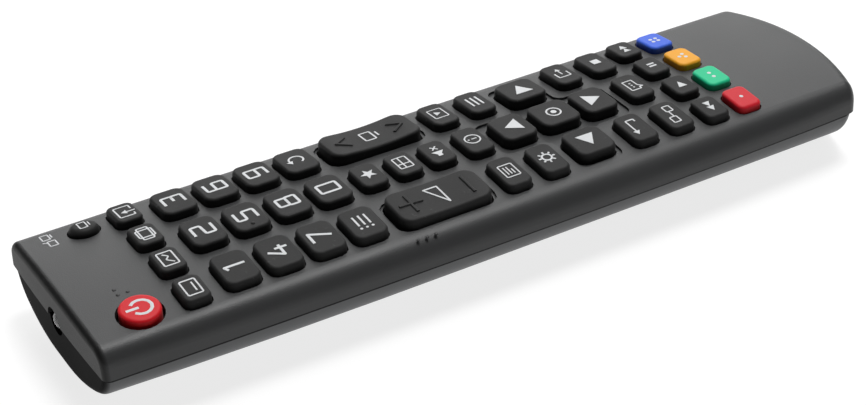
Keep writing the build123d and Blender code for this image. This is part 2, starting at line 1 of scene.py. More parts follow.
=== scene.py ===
# %% [markdown]
# A universal remote control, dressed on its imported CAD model.
# The CAD model gives the two halves of the case, the sliding battery cover and the parts
# inside. They are right in shape, so they keep their meshes and only get a finish. The
# rubber keys are the part of a remote that a hand and an eye meet first, so each one is
# modelled again with soft edges, and its printed or raised sign is a piece of its own.

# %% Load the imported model
import math

import bmesh
import bpy
from mathutils import Matrix, Vector


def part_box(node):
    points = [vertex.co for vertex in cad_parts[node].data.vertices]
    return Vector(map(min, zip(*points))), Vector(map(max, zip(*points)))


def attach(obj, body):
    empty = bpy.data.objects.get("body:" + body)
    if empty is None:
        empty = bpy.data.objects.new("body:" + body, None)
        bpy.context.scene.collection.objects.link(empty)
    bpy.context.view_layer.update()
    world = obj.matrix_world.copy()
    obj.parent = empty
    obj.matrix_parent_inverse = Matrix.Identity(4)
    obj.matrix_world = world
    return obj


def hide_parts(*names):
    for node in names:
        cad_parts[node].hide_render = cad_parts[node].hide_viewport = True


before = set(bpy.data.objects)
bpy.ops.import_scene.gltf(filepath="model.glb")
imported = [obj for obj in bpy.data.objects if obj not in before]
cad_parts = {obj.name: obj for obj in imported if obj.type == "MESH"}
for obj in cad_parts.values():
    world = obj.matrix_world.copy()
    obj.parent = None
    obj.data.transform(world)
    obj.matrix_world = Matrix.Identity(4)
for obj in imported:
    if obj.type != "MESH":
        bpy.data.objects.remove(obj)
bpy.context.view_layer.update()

# %% [markdown]
# The camera stands off the corner where the power key is and looks across the keypad from
# above. Its three axes and its place were fitted to the rows of keys, whose pitch is
# regular, so one perspective explains all of them. The view transform is the plain one,
# because the default one fades the strong colours of the keys.

# %% Camera
PHOTO_WIDTH = 866
FOCAL_PIXELS = 1957.6
SENSOR_WIDTH = 36
CAMERA_PLACE = (-0.2807, 0.1696, 0.2142)
right = Vector((-0.51593, -0.85613, -0.02931))
down = Vector((-0.44786, 0.29875, -0.84272))
forward = Vector((0.73023, -0.42166, -0.53756))
camera_data = bpy.data.cameras.new("camera")
camera_data.lens = FOCAL_PIXELS / PHOTO_WIDTH * SENSOR_WIDTH
camera_data.sensor_width = SENSOR_WIDTH
camera_data.shift_x = 0.0030
camera_data.shift_y = 0.00036
camera = bpy.data.objects.new("camera", camera_data)
bpy.context.collection.objects.link(camera)
turned = Matrix((right, -down, -forward)).transposed().to_4x4()
turned.translation = CAMERA_PLACE
camera.matrix_world = turned
bpy.context.scene.camera = camera
bpy.context.scene.view_settings.view_transform = "Standard"
print("lens", round(camera_data.lens, 1), "mm")

# %% [markdown]
# A shader is easier to read as a sum than as a net of boxes. Wire wraps one socket, and
# its operators add the Math nodes that an expression needs. Finish holds one material:
# its node method makes any other node from its type, its settings and its inputs. Where a
# surface loses its gloss, dull_where mixes in a second shader.


# %% Shader maths and materials
class Wire:
    """One socket's number, ready for sums and products."""

    def __init__(self, finish, socket):
        self.finish, self.socket = finish, socket

    def combined(self, operation, first, second):
        settings = {"operation": operation}
        return self.finish.node("ShaderNodeMath", settings, {0: first, 1: second})

    def __add__(self, other):
        return self.combined("ADD", self, other)

    __radd__ = __add__

    def __mul__(self, other):
        return self.combined("MULTIPLY", self, other)

    __rmul__ = __mul__

    def __sub__(self, other):
        return self.combined("SUBTRACT", self, other)

    def __rsub__(self, other):
        return self.combined("SUBTRACT", other, self)


class Finish:
    """One material for one real surface."""

    def __init__(self, name, **constants):
        self.material = bpy.data.materials.new(name)
        self.material.use_nodes = True
        self.nodes = self.material.node_tree.nodes
        self.shader = self.nodes["Principled BSDF"]
        for socket, value in constants.items():
            self.set_input(self.shader, socket.replace("_", " "), value)

    def set_input(self, node, key, value):
        if isinstance(value, Wire):
            self.material.node_tree.links.new(value.socket, node.inputs[key])
        else:
            node.inputs[key].default_value = value

    def node(self, kind, settings=(), inputs=(), output=0):
        """Any node, from its type, its settings and the values or links of its sockets."""
        made = self.nodes.new(kind)
        for key, value in dict(settings).items():
            setattr(made, key, value)
        for key, value in dict(inputs).items():
            self.set_input(made, key, value)
        return Wire(self, made.outputs[output])

    def where(self):
        return self.node("ShaderNodeTexCoord", output="Object")

    def along(self, axis):
        return self.node("ShaderNodeSeparateXYZ", (), {0: self.where()}, axis)

    def noise(self, grain_size, detail=2.0, roughness=0.5):
        """Cloudy noise between 0 and 1 whose grains are about grain_size metres wide."""
        inputs = {"Vector": self.where(), "Scale": 1 / grain_size}
        inputs.update({"Detail": detail, "Roughness": roughness})
        return self.node("ShaderNodeTexNoise", (), inputs, "Fac")

    def ramp(self, amount, low, high):
        """0 below low, 1 above high and even between them."""
        inputs = {"Value": amount, "From Min": low, "From Max": high}
        return self.node("ShaderNodeMapRange", {"clamp": True}, inputs)

    def blend(self, amount, first, second):
        """From the first colour to the second one."""
        mix = self.nodes.new("ShaderNodeMix")
        mix.data_type = "RGBA"
        colours = [socket for socket in mix.inputs if socket.type == "RGBA"]
        self.set_input(mix, 0, amount)
        for socket, colour in zip(colours, (first, second)):
            if isinstance(colour, Wire):
                self.material.node_tree.links.new(colour.socket, socket)
            else:
                socket.default_value = colour
        return Wire(self, [out for out in mix.outputs if out.type == "RGBA"][0])

    def give(self, socket, value):
        self.set_input(self.shader, socket, value)

    def dull_where(self, amount, colour):
        """Swap the shader for a dull one without reflections, by this amount."""
        dull = self.nodes.new("ShaderNodeBsdfPrincipled")
        dull_look = {"Base Color": colour, "Roughness": 0.7, "Specular IOR Level": 0.0}
        for socket, value in dull_look.items():
            self.set_input(dull, socket, value)
        glossy_part, dull_part = [Wire(self, node.outputs[0]) for node in (self.shader, dull)]
        parts = {0: amount, 1: glossy_part, 2: dull_part}
        mixed = self.node("ShaderNodeMixShader", (), parts)
        self.set_input(self.nodes["Material Output"], "Surface", mixed)

    def bump(self, height, distance):
        inputs = {"Height": height, "Distance": distance, "Strength": 1.0}
        self.give("Normal", self.node("ShaderNodeBump", (), inputs))


def grey(value, warmth=0.0):
    """A grey of this linear brightness, a touch warmer or cooler."""
    return (value * (1 + warmth), value, value * (1 - warmth), 1)


print("middle grey", grey(0.18))


# %% [markdown]
# The upper half is injection-moulded plastic with a spark-eroded texture: very fine pits
# that scatter the light, so the grey looks even and soft. Two noises make it, pits about
# 0.2 mm wide for the bump and slow clouds for the handling sheen. A brushed or glossy
# finish would show streaks that the real face doesn't have. The infra-red end is painted
# darker and duller than the face, as painted shade with its reflections taken out, and the
# lip of the lower shell is painted dark where it meets the upper one, as painted shade in
# the gap.


# %% Moulded plastic
CLOUD_SIZE = 0.018
SHADED_END_Y = (0.0843, 0.0852)
SHADED_LIP_Z = (0.0096, 0.00964)


def moulded(name, colour, shade, roughness, pit_depth, pit_size=0.00022, gloss=0.4,
            end_shade_tone=None, end_shade_dullness=0.0, lip_shade_tone=None):
    """Fine-grained plastic with clouds in its colour, and painted shade on its end and lip."""
    finish = Finish(name, Specular_IOR_Level=gloss)
    clouds = finish.noise(CLOUD_SIZE, 3.0)
    pits = finish.noise(pit_size, 2.0, 0.6)
    body = finish.blend(clouds * 0.7 + pits * 0.3, shade, colour)
    # Painted shade: the infra-red end is darkened and its reflections are taken out.
    if end_shade_tone:
        end = finish.ramp(finish.along(1), *SHADED_END_Y)
        body = finish.blend(end, body, end_shade_tone)
        finish.dull_where(end * end_shade_dullness, end_shade_tone)
    # Painted shade: the lip of the lower shell is darkened where the gap between the halves lies in
    # shadow.
    if lip_shade_tone:
        body = finish.blend(finish.ramp(finish.along(2), *SHADED_LIP_Z), body, lip_shade_tone)
    finish.give("Base Color", body)
    finish.give("Roughness", roughness + (clouds - 0.5) * 0.12 + (pits - 0.5) * 0.1)
    finish.bump(pits, pit_depth)
    return finish.material


# The near-black below and the end tones of both shells are painted shade.
shade_black = grey(0.004)
case_grey = moulded(
    "case_grey", grey(0.045, -0.02), grey(0.038, -0.02), 0.42, 0.00003, gloss=0.33,
    end_shade_tone=grey(0.01), end_shade_dullness=0.4,
)
shell_dark = moulded(
    "shell_dark", grey(0.11, -0.02), grey(0.1, -0.02), 0.38, 0.000012, gloss=0.05,
    end_shade_tone=shade_black, end_shade_dullness=0.75, lip_shade_tone=shade_black,
)
cover_dark = moulded("cover_dark", grey(0.08, -0.02), grey(0.07, -0.02), 0.4, 0.000018, gloss=0.15)
chip_black = moulded("chip_black", grey(0.02), grey(0.014), 0.5, 0.00002, 0.00012)
print("moulded plastics", 4)

# %% [markdown]
# The keys are silicone rubber. Rubber is duller than the case, takes up dust and skin oil
# where fingers press it, and has a soft bloom at grazing angles. The bloom is a constant
# sheen, and the dust is a noise that only lightens the tops, found by their height. The
# sides of each key get a darker copy of its colour and the tops a lighter one: painted
# shade on the sides and painted light on the tops.


# %% Silicone rubber
LIT_DUSTY_KEY_TOPS = (0.0164, 0.0174)


def rubber(name, colour, shade, dust, roughness=0.56):
    """Soft silicone, painted lighter on top and darker on its sides, with a little dust on top."""
    finish = Finish(name, Specular_IOR_Level=0.16, Sheen_Weight=0.06, Sheen_Roughness=0.45)
    skin = finish.noise(0.00035, 3.0, 0.6)
    clouds = finish.noise(0.006, 2.0)
    top = finish.ramp(finish.along(2), *LIT_DUSTY_KEY_TOPS)
    lint = finish.ramp(finish.noise(0.0011, 4.0, 0.7), 0.62, 0.8)
    # Painted shade and light: the sides get the shade colour and the tops the lit colour.
    body = finish.blend(top, shade, colour)
    finish.give("Base Color", finish.blend(lint * top * dust, body, grey(0.45)))
    finish.give("Roughness", roughness + (clouds - 0.5) * 0.12 - lint * 0.05)
    finish.bump(skin, 0.000015)
    return finish.material


# Each key's first colour is its painted lit top and its second the painted shade of its sides.
key_black = rubber("rubber_black", grey(0.018), grey(0.005), 0.08)
key_power = rubber("rubber_power", (0.64, 0.012, 0.02, 1), (0.5, 0.004, 0.006, 1), 0.02, 0.42)
key_red = rubber("rubber_red", (0.62, 0.014, 0.026, 1), (0.46, 0.006, 0.01, 1), 0.02, 0.44)
key_green = rubber("rubber_green", (0.014, 0.56, 0.27, 1), (0.006, 0.3, 0.13, 1), 0.03, 0.44)
key_yellow = rubber("rubber_yellow", (0.83, 0.37, 0.02, 1), (0.6, 0.2, 0.008, 1), 0.03, 0.44)
key_blue = rubber("rubber_blue", (0.045, 0.135, 0.72, 1), (0.015, 0.05, 0.42, 1), 0.03, 0.44)
keypad_grey = rubber("keypad_grey", grey(0.2), grey(0.16), 0.05)
print("rubbers", 7)

# %% [markdown]
# The signs are silk-screened in white ink, a thin and slightly uneven film. Its noise
# lets a trace of the black show through, as worn ink does.

# %% Printing ink
ink = Finish("ink_white", Specular_IOR_Level=0.4)
wear = ink.ramp(ink.noise(0.0004, 3.0, 0.7), 0.6, 0.85)
ink.give("Base Color", ink.blend(wear * 0.35, grey(0.64, -0.02), grey(0.42)))
ink.give("Roughness", 0.45 + wear * 0.2)
ink.bump(wear, 0.000008)
ink_white = ink.material
print("ink", ink_white.name)

# %% [markdown]
# The emitter is cast clear resin over a metal cup. The resin is nearly all transmission,
# held constant, and only its tint and roughness vary, with faint moulding swirls.

# %% Clear resin and metals
resin = Finish("clear_resin", Transmission_Weight=0.92, IOR=1.53)
resin.give("Base Color", resin.blend(resin.noise(0.003), grey(0.8, -0.01), grey(0.9, -0.02)))
resin.give("Roughness", 0.03 + resin.noise(0.0015) * 0.05)
clear_resin = resin.material


STREAK_WIDTH, STREAK_LENGTH = 0.0003, 0.006


def plated(name, colour, shade, roughness, streak_axis=1):
    """Plated or drawn metal with faint streaks along one axis."""
    finish = Finish(name, Metallic=1.0)
    stretch = [1 / STREAK_WIDTH] * 3
    stretch[streak_axis] = 1 / STREAK_LENGTH
    inputs = {"Vector": finish.where(), "Scale": tuple(stretch)}
    drawn = finish.node("ShaderNodeMapping", {"vector_type": "POINT"}, inputs)
    streaks = finish.node("ShaderNodeTexNoise", (), {"Vector": drawn, "Scale": 1.0}, "Fac")
    finish.give("Base Color", finish.blend(streaks, shade, colour))
    finish.give("Roughness", roughness + (streaks - 0.5) * 0.14)
    finish.bump(streaks, 0.000006)
    return finish.material


contact_nickel = plated("contact_nickel", grey(0.72, 0.02), grey(0.6, 0.02), 0.26, 0)
emitter_metal = plated("emitter_metal", grey(0.09), grey(0.06), 0.3)
print("metals", 2)

# %% [markdown]
# The two cells wear a printed sleeve: satin blue-grey with a pale band near the plus
# end, over bare steel ends. The bands are read from how far a point lies along the cell,
# so one material needs no picture. The two cells lie head to tail, so they have one each.


# %% Cells
SLEEVE_START, SLEEVE_END = (0.0018, 0.0019), (0.0432, 0.0433)
BAND_START, BAND_END = (0.0085, 0.0087), (0.0118, 0.012)


def cell_sleeve(name, plus_end, towards):
    """A sleeve whose bands are counted from the plus end of this cell."""
    finish = Finish(name, Specular_IOR_Level=0.5)
    depth = (plus_end - finish.along(1)) * towards
    steel = 1 - finish.ramp(depth, *SLEEVE_START) * (1 - finish.ramp(depth, *SLEEVE_END))
    band = finish.ramp(depth, *BAND_START) * (1 - finish.ramp(depth, *BAND_END))
    scuffs = finish.ramp(finish.noise(0.0012, 4.0, 0.7), 0.56, 0.8)
    sleeve = finish.blend(band, (0.05, 0.085, 0.12, 1), grey(0.5))
    sleeve = finish.blend(scuffs * 0.25, sleeve, grey(0.35))
    finish.give("Base Color", finish.blend(steel, sleeve, grey(0.62, 0.01)))
    finish.give("Metallic", 0.35 + steel * 0.6)
    finish.give("Roughness", 0.3 + scuffs * 0.15)
    finish.bump(finish.noise(0.0006), 0.000006)
    return finish.material


left_low, left_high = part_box("battery_left")
right_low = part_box("battery_right")[0]
sleeve_left = cell_sleeve("sleeve_left", left_high.y, 1)
sleeve_right = cell_sleeve("sleeve_right", right_low.y, -1)
print("cells from", round(left_low.y, 4), "to", round(left_high.y, 4))

# %% [markdown]
# The circuit board is glass fibre under green lacquer, with darker copper runs. Two wave
# patterns crossed by a coarse grid of cells give runs that stop and start.

# %% Circuit board and small parts
RUN_SCALE, PATCH_SCALE = 130.0, 90.0
board = Finish("board_green", Specular_IOR_Level=0.5)
bands = {"wave_type": "BANDS", "bands_direction": "X"}
runs = board.node("ShaderNodeTexWave", bands, {"Vector": board.where(), "Scale": RUN_SCALE})
grid = {"Vector": board.where(), "Scale": PATCH_SCALE}
patches = board.node("ShaderNodeTexVoronoi", {"distance": "MANHATTAN"}, grid)
copper = board.ramp(runs, 0.6, 0.66) * board.ramp(patches, 0.35, 0.4)
board.give("Base Color", board.blend(copper, (0.012, 0.1, 0.035, 1), (0.03, 0.2, 0.07, 1)))
board.give("Roughness", 0.26 + board.noise(0.002) * 0.12)
board.bump(copper, 0.00003)
board_green = board.material


def dipped(name, colour, shade):
    """A shrunk or dipped coat, glossy and a little uneven."""
    finish = Finish(name, Specular_IOR_Level=0.55)
    ripples = finish.noise(0.0015, 2.0)
    finish.give("Base Color", finish.blend(ripples, shade, colour))
    finish.give("Roughness", 0.18 + ripples * 0.14)
    finish.bump(ripples, 0.00003)
    return finish.material


capacitor_blue = dipped("capacitor_blue", (0.02, 0.035, 0.13, 1), (0.01, 0.018, 0.07, 1))
resonator_orange = dipped("resonator_orange", (0.62, 0.2, 0.03, 1), (0.42, 0.11, 0.015, 1))
print("board and dipped parts", 3)

# %% [markdown]
# The shells, the cover and the parts inside keep their CAD meshes, because their shapes are
# right. Each gets its finish in its material slots.

# %% Finishes of the CAD pieces
finishes = {
    "upper_case": case_grey,
    "lower_case": shell_dark,
    "battery_cover": cover_dark,
    "keypad_mat": keypad_grey,
    "circuit_board": board_green,
    "battery_left": sleeve_left,
    "battery_right": sleeve_right,
    "battery_bridge": contact_nickel,
    "battery_terminal_positive": contact_nickel,
    "battery_terminal_negative": contact_nickel,
    "controller_chip": chip_black,
    "filter_capacitor": capacitor_blue,
    "resonator": resonator_orange,
}
for name, material in finishes.items():
    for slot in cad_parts[name].material_slots:
        slot.material = material
print("finished CAD pieces", len(finishes))

# %% [markdown]
# The face of the case is a slice of a wide cylinder, and each key's top follows it. All
# shapes are drawn in millimetres and made metres when they are finished. The keys sit a
# hair low, so the ink on the highest ones stays inside the model's real height.

# %% Sizes of the keypad
MM = 0.001
FACE_HEIGHT = 17.1
CROWN_RADIUS = 175.0
KEY_PROUD = 1.8
KEY_SINK = 0.05
KEY_FOOT = 14.4
FLANGE_HEIGHT = 0.6
FLANGE_LIP = 0.5
FLANGE_LIMIT = 18.3
KEY_EDGE = 0.6
PROGRAMMES_Y = 13.35
HUMP_Y = 6.2
ROCKER_END = 12.9
DISHES = {"rocker_volume": 0.15, "rocker_channel": 0.35}
print("crown radius", CROWN_RADIUS, "mm, face height", FACE_HEIGHT, "mm")


def crown_drop(x):
    """How far the crowned face lies below its middle line."""
    return CROWN_RADIUS - math.sqrt(CROWN_RADIUS**2 - x**2)


def dish_height(node, y):
    """A rocker's top: a hollow middle between two low humps that fall away to the ends."""
    dish = DISHES.get(node, 0)
    beyond = max(abs(y - PROGRAMMES_Y) - HUMP_Y, 0)
    inner = min(abs(y - PROGRAMMES_Y), HUMP_Y)
    slope = 2 * dish / HUMP_Y
    reach = ROCKER_END - HUMP_Y
    fall = (2 * dish + slope * reach) / reach**2
    return dish * (inner / HUMP_Y) ** 2 + slope * beyond - fall * beyond**2


# %% [markdown]
# Where each key stands and how large it is: x, y, width, length, corner radius and how
# proud it is of the face. Rows and columns share their values, as the mould's do.

# %% Table of keys
DIGIT = (9.4, 7.1, 1.9)
FUNCTION = (7.3, 5.3, 1.4)
CENTRE = (8.3, 5.6, 1.6)
MENU = (9.6, 5.8, 1.7)
ARROW = (9.3, 7.7, 2.0)
SIDE_ARROW = (8.7, 8.7, 2.0)
SMALL = (7.3, 5.6, 1.5)
ROCKER = (9.9, 19.8, 2.6)
THREE = (-13.1, 0.0, 13.1)
FOUR = (-14.65, -4.9, 4.9, 14.65)
keys = {}


def row(names, columns, y, size, proud=KEY_PROUD):
    """One row of keys, from left to right as the remote is held."""
    for name, x in zip(names.split(), columns):
        keys["key_" + name] = (x, y, *size, proud)


row("captions picture_mode aspect inputs", FOUR, 65.05, FUNCTION)
row("1 2 3", THREE, 55.75, DIGIT)
row("4 5 6", THREE, 47.05, DIGIT)
row("7 8 9", THREE, 38.35, DIGIT)
row("channel_list 0 last_channel", THREE, 29.65, DIGIT)
row("favourites", (0,), 20.95, CENTRE)
row("programmes", (0,), PROGRAMMES_Y, CENTRE)
row("mute", (0,), 5.75, CENTRE)
row("teletext information teletext_menu", THREE, -2.45, MENU)
row("settings menu", (-13.1, 13.1), -11.15, MENU)
row("up", (0,), -11.65, ARROW)
row("left right", (-12.15, 12.15), -21.55, SIDE_ARROW)
row("ok", (0,), -21.55, (8.9, 8.9, 2.1))
row("down", (0,), -31.05, ARROW)
row("back exit", (-13.1, 13.1), -32.25, MENU)
row("devices narration stop", THREE, -40.95, MENU)
row("rewind play pause forward", FOUR, -49.35, SMALL)
row("red green yellow blue", FOUR, -57.35, SMALL, 1.5)
row("power", (-14.5,), 74.9, (7.7, 7.7, 3.85), 1.2)
row("source", (15.2,), 73.1, (5.2, 5.9, 2.6), 1.5)
keys["rocker_volume"] = (-13.1, PROGRAMMES_Y, *ROCKER, KEY_PROUD)
keys["rocker_channel"] = (13.1, PROGRAMMES_Y, *ROCKER, KEY_PROUD)
rubbers = {
    "key_power": key_power, "key_red": key_red, "key_green": key_green,
    "key_yellow": key_yellow, "key_blue": key_blue,
}
print("keys", len(keys))


def top_height(node, x, y):
    """The height of a key's top, or of the case's face, over this place."""
    proud = keys[node][5] - KEY_SINK if node in keys else 0
    return FACE_HEIGHT + proud - crown_drop(x) + dish_height(node, y)


# %% [markdown]
# Every new piece is finished alike. Its doubles are merged and its faces turned outwards,
# its millimetres become metres, and edges sharper than an angle stay crisp. It then rides
# on its body and may stand for a CAD node.


# %% Helpers for solid pieces
MERGE_DISTANCE = 0.0005
SHARP_ANGLE = 40


def finished_piece(name, bm, material, body, node=None):
    """Make metres of millimetres, smooth the faces and let the piece ride."""
    bmesh.ops.remove_doubles(bm, verts=bm.verts, dist=MERGE_DISTANCE)
    bmesh.ops.recalc_face_normals(bm, faces=bm.faces)
    bmesh.ops.scale(bm, vec=(MM, MM, MM), verts=bm.verts)
    mesh = bpy.data.meshes.new(name)
    bm.to_mesh(mesh)
    bm.free()
    mesh.shade_smooth()
    mesh.set_sharp_from_angle(angle=math.radians(SHARP_ANGLE))
    mesh.materials.append(material)
    made = bpy.data.objects.new(name, mesh)
    bpy.context.collection.objects.link(made)
    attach(made, body)
    if node:
        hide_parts(node)


def block(bm, low, high):
    """A box between two corners."""
    size = [b - a for a, b in zip(low, high)]
    middle = [(a + b) / 2 for a, b in zip(low, high)]
    verts = bmesh.ops.create_cube(bm, size=1)["verts"]
    bmesh.ops.scale(bm, vec=size, verts=verts)
    bmesh.ops.translate(bm, vec=middle, verts=verts)


def softened(bm, edges, radius, segments):
    """Round these edges."""
    bmesh.ops.bevel(
        bm, geom=edges, offset=radius, offset_type="OFFSET", segments=segments,
        profile=0.5, affect="EDGES", material=-1,
    )


# %% [markdown]
# Most keys start as a cube whose four upright edges are bevelled, and a round key starts as
# a circle that is pulled up. A smaller bevel round the top gives the soft rubber edge, and
# a thin inset keeps the middle flat when the faces are smoothed. The top is then lowered
# along the crown, vertex by vertex, so a key at the side leans as its neighbours on the
# case do. A flange under each key holds it below the face. The power key has none, because
# its red would show in the ring-shaped gap.

# %% Keys
CORNER_SEGMENTS = 8
ROUND_SHARE = 0.45
ROUND_SIDES = 64
EDGE_SEGMENTS = 5
SOURCE_EDGE = 1.3
TOP_INSET = 0.12
BLOCK_TOP = 20.0
ROCKER_CUTS = 24
ROCKER_FLANGE_HALF = 3.0
ROCKER_FLANGE_DROP = 0.1


def key_block(x, y, width, length, corner, edge):
    """An upright block with round corners and a soft edge round its top."""
    bm = bmesh.new()
    if corner > width * ROUND_SHARE:
        bmesh.ops.create_circle(bm, cap_ends=True, segments=ROUND_SIDES, radius=0.5)
        bmesh.ops.scale(bm, vec=(width, length, 1), verts=bm.verts)
        bmesh.ops.translate(bm, vec=(x, y, KEY_FOOT), verts=bm.verts)
        raised_face = bmesh.ops.extrude_face_region(bm, geom=bm.faces[:])["geom"]
        verts = [part for part in raised_face if isinstance(part, bmesh.types.BMVert)]
        bmesh.ops.translate(bm, vec=(0, 0, BLOCK_TOP - KEY_FOOT), verts=verts)
    else:
        low = (x - width / 2, y - length / 2, KEY_FOOT)
        block(bm, low, (x + width / 2, y + length / 2, BLOCK_TOP))
        upright = [e for e in bm.edges if abs(e.verts[0].co.z - e.verts[1].co.z) > corner / 2]
        softened(bm, upright, corner, CORNER_SEGMENTS)
    top = max(bm.faces, key=lambda face: face.calc_center_median().z)
    softened(bm, list(top.edges), edge, EDGE_SEGMENTS)
    top = max(bm.faces, key=lambda face: face.calc_center_median().z)
    bmesh.ops.inset_region(bm, faces=[top], thickness=TOP_INSET)
    return bm


def lowered_to_crown(bm, node):
    """Bring the top of a block down to the key's own height, place by place."""
    for vert in bm.verts:
        if vert.co.z > KEY_FOOT + FLANGE_HEIGHT:
            vert.co.z += top_height(node, vert.co.x, vert.co.y) - BLOCK_TOP


def cut_across(bm, centre_y, length, count):
    """Divide a long key across, so that its top can curve."""
    for n in range(1, count):
        place = Vector((0, centre_y + length * (n / count - 0.5), 0))
        geometry = bm.verts[:] + bm.edges[:] + bm.faces[:]
        bmesh.ops.bisect_plane(
            bm, geom=geometry, plane_co=place, plane_no=Vector((0, 1, 0)), dist=0.00005
        )


for node, (x, y, width, length, corner, _) in keys.items():
    long_key = node in DISHES
    edge = SOURCE_EDGE if node == "key_source" else KEY_EDGE
    bm = key_block(x, y, width, length, corner, edge)
    if long_key:
        cut_across(bm, y, length, ROCKER_CUTS)
    lowered_to_crown(bm, node)
    if node != "key_power":
        reach = width / 2 + FLANGE_LIP
        half = ROCKER_FLANGE_HALF if long_key else length / 2
        flange_top = KEY_FOOT + FLANGE_HEIGHT - (ROCKER_FLANGE_DROP if long_key else 0)
        low = (max(x - reach, -FLANGE_LIMIT), y - half, KEY_FOOT)
        block(bm, low, (min(x + reach, FLANGE_LIMIT), y + half, flange_top))
    slot = node if node in rubbers else "key_black"
    finished_piece("rubber_" + node, bm, rubbers.get(node, key_black), node, node)
print("rubber keys", len(keys))

# %% [markdown]
# A sign is drawn with a pen that follows a line, as the artwork for a silk screen is.
# The line is a NURBS curve with extra points beside each corner, which keeps corners
# small and round. The curve's round bevel is flattened to a film and laid on the key,
# point by point, so that it follows the crown. Filled shapes are flat curves with a
# little depth, and dots are flattened balls.

# %% Helpers for signs
CORNER_REACH = 0.55
INK_RISE = 0.035
CASE_INK_RISE = 0.07
FILL_SHARE = 0.8


def mesh_of(curve):
    """The mesh that a curve makes, and no curve left behind."""
    holder = bpy.data.objects.new("pen", curve)
    bpy.context.collection.objects.link(holder)
    graph = bpy.context.evaluated_depsgraph_get()
    mesh = bpy.data.meshes.new_from_object(holder.evaluated_get(graph))
    bpy.data.objects.remove(holder)
    bpy.data.curves.remove(curve)
    return mesh


def with_round_corners(points, closed, reach):
    """Points beside each corner, so that only the corner itself is rounded."""
    line = []
    count = len(points)
    for n, point in enumerate(points):
        here = Vector((*point, 0))
        if not closed and n in (0, count - 1):
            line.append(here)
            continue
        for other in (points[n - 1], None, points[(n + 1) % count]):
            if other is None:
                line.append(here)
                continue
            towards = Vector((*other, 0)) - here
            step = min(reach, towards.length / 2.2)
            line.append(here + towards.normalized() * step)
    return line


def pen_line(points, closed, width, reach):
    """A line drawn with a round pen."""
    curve = bpy.data.curves.new("pen", "CURVE")
    curve.dimensions = "3D"
    curve.bevel_depth = width / 2
    curve.bevel_resolution = 1
    curve.use_fill_caps = True
    line = with_round_corners(points, closed, reach)
    spline = curve.splines.new("NURBS")
    spline.points.add(len(line) - 1)
    for spot, point in zip(spline.points, line):
        spot.co = (*point, 1)
    spline.order_u = 3
    spline.use_endpoint_u = not closed
    spline.use_cyclic_u = closed
    spline.resolution_u = 3
    return mesh_of(curve)


def filled_shape(points):
    """A flat filled outline."""
    curve = bpy.data.curves.new("pen", "CURVE")
    curve.dimensions = "2D"
    curve.fill_mode = "BOTH"
    curve.extrude = 0.5
    spline = curve.splines.new("POLY")
    spline.points.add(len(points) - 1)
    for spot, point in zip(spline.points, points):
        spot.co = (*point, 0, 1)
    spline.use_cyclic_u = True
    return mesh_of(curve)


def flattened(bm, mesh, depth):
    """Add a drawn mesh, squeezed to this depth."""
    before = len(bm.verts)
    bm.from_mesh(mesh)
    bpy.data.meshes.remove(mesh)
    bm.verts.ensure_lookup_table()
    drawn = bm.verts[before:]
    tallest = max(abs(vert.co.z) for vert in drawn)
    for vert in drawn:
        vert.co.z *= depth / tallest


def sign(name, node, lines=(), shapes=(), dots=(), pen=0.4, at=(0, 0), rise=INK_RISE,
         material=None, reach=CORNER_REACH, slot=None):
    """Draw lines, filled shapes and dots in a key's own plane and lay them on it."""
    bm = bmesh.new()
    for points, closed in lines:
        flattened(bm, pen_line(points, closed, pen, reach), rise)
    for points in shapes:
        flattened(bm, filled_shape(points), rise * FILL_SHARE)
    for x, y, radius in dots:
        ball = bmesh.ops.create_uvsphere(bm, u_segments=14, v_segments=6, radius=radius)
        bmesh.ops.scale(bm, vec=(1, 1, rise / radius), verts=ball["verts"])
        bmesh.ops.translate(bm, vec=(x, y, 0), verts=ball["verts"])
    bmesh.ops.translate(bm, vec=(*at, 0), verts=bm.verts)
    for vert in bm.verts:
        vert.co.z += top_height(node, vert.co.x, vert.co.y)
    finished_piece(name, bm, material or ink_white, node)


def open_line(*points):
    """A line that ends where its last point is."""
    return list(points), False


def box_line(width, height, at=(0, 0)):
    """A closed rectangle."""
    x, y = at
    w, h = width / 2, height / 2
    return [(x - w, y + h), (x + w, y + h), (x + w, y - h), (x - w, y - h)], True


def round_line(radius, at=(0, 0), start=0, end=360, count=12):
    """A circle or a part of one, from start to end in degrees."""
    x, y = at
    whole = end - start >= 360
    angles = [math.radians(start + (end - start) * n / (count - (not whole))) for n in range(count)]
    return [(x + radius * math.cos(a), y + radius * math.sin(a)) for a in angles], whole


def wedge(width, height, turn=0, at=(0, 0)):
    """A filled triangle that points up, turned by some degrees."""
    half, foot = width / 2, -height / 2
    points = [Vector((0, height / 2)), Vector((half, foot)), Vector((-half, foot))]
    spin = Matrix.Rotation(math.radians(turn), 2)
    return [tuple(spin @ point + Vector(at)) for point in points]


print("a full ring has", len(round_line(1.0)[0]), "points")

# %% [markdown]
# Ten digits share a box 3.0 mm wide and 4.0 mm tall to the middle of the pen, with an open
# technical shape, so that they read well at a glance. Digits of slanting lines keep crisp
# corners, and the others are rounder.

